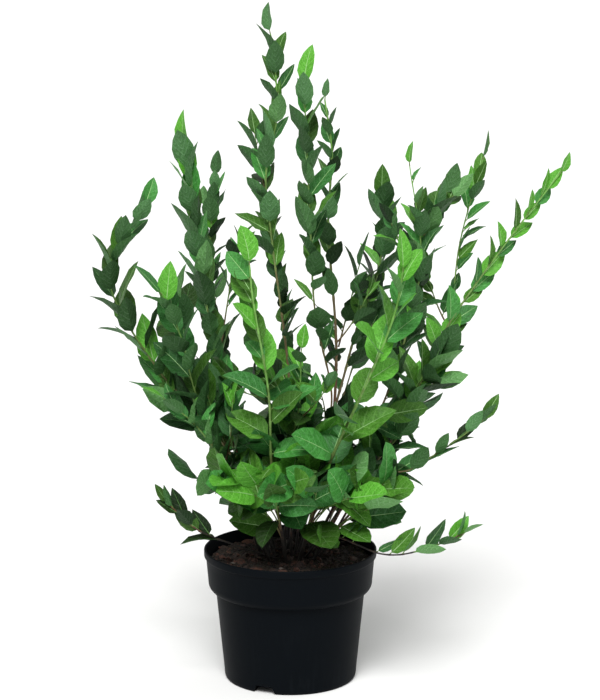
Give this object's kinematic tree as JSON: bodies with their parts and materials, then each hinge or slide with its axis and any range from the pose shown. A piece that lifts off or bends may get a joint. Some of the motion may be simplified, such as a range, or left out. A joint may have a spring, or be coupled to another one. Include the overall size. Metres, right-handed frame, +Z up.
{
  "type": "blueberry bush in a pot",
  "caption": "Young leafy blueberry bush with slender upright and arching shoots, rooted in a plain round nursery pot of dark soil.",
  "frame": {"origin": "centre of the flat hub on the pot's underside, at the level of the foot ring", "axes": "+Z up, along the pot's axis; +X to the right and -Y towards the viewer of the bush's front"},
  "size_m": [0.5176, 0.3365, 0.738],
  "materials": {
    "pot_plastic": "moulded black polypropylene, soft satin sheen",
    "soil": "moist dark peat and bark compost",
    "bark": "thin bark, brown at the foot and yellow-green on young wood",
    "foliage": "smooth leaf, slightly glossy above and paler below"
  },
  "bodies": {
    "root": {"pot": "pot_plastic", "soil": "soil", "cane_tall": "bark", "cane_tall_right": "bark", "cane_slim": "bark", "cane_left_high": "bark", "cane_left_arch": "bark", "cane_left_mid": "bark", "cane_front_left": "bark", "cane_front_right": "bark", "cane_right_arch": "bark", "cane_right_high": "bark", "cane_right_mid": "bark", "cane_rim_left": "bark", "cane_rim_right": "bark", "cane_back_left": "bark", "cane_back_high": "bark", "bough_tall_right": "bark", "bough_left_arch": "bark", "bough_left_fork": "bark", "bough_right_arch": "bark", "bough_right_high": "bark", "leaves_tall": "foliage", "leaves_tall_right": "foliage", "leaves_slim": "foliage", "leaves_left_high": "foliage", "leaves_left_fork": "foliage", "leaves_left_arch": "foliage", "leaves_left_mid": "foliage", "leaves_left_low": "foliage", "leaves_front_left": "foliage", "leaves_front_right": "foliage", "leaves_front_centre": "foliage", "leaves_right_arch": "foliage", "leaves_right_high": "foliage", "leaves_right_mid": "foliage", "leaves_right_fork": "foliage", "leaves_right_elbow": "foliage", "leaves_right_low": "foliage", "leaves_rim_left": "foliage", "leaves_rim_right": "foliage", "leaves_back_centre": "foliage", "leaves_back_left": "foliage", "leaves_back_high": "foliage", "leaves_back_right": "foliage", "leaves_back_low_left": "foliage", "leaves_back_low_right": "foliage", "leaves_skirt_front_left": "foliage", "leaves_skirt_front": "foliage", "leaves_skirt_front_right": "foliage", "leaves_skirt_back_left": "foliage", "leaves_skirt_back_right": "foliage", "leaves_skirt_back": "foliage", "leaves_shoulder_left": "foliage", "leaves_shoulder_right": "foliage", "leaves_heart": "foliage", "leaves_heart_back": "foliage", "leaves_crown_middle": "foliage"}
  },
  "joints": []
}
